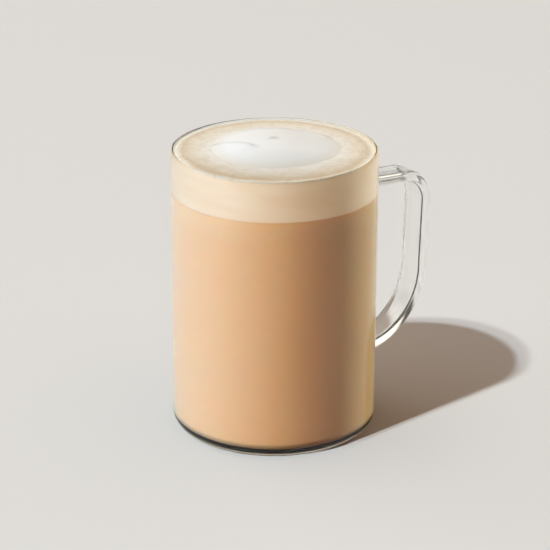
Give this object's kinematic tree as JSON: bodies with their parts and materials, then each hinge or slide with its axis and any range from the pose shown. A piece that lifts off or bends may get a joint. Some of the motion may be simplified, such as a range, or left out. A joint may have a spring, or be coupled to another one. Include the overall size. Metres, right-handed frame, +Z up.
{
  "type": "white mocha in a glass mug",
  "caption": "Straight-sided clear glass mug with a flat-bar side handle, filled to the brim with milky coffee under a foam layer and a mound of white milk foam.",
  "frame": {"origin": "centre of the mug's flat underside, on the cup's axis", "axes": "+Z up along the cup's axis, +X from the axis towards the handle, the handle's plane is XZ"},
  "size_m": [0.1169, 0.081, 0.117],
  "materials": {
    "clear_glass": "clear, fire-polished",
    "white_mocha": "opaque milky coffee behind glass",
    "mocha_foam": "fine cream to tan foam",
    "milk_foam": "smooth white microfoam"
  },
  "bodies": {
    "root": {"glass_mug": "clear_glass", "mocha": "white_mocha", "foam_layer": "mocha_foam", "milk_foam": "milk_foam"}
  },
  "joints": []
}
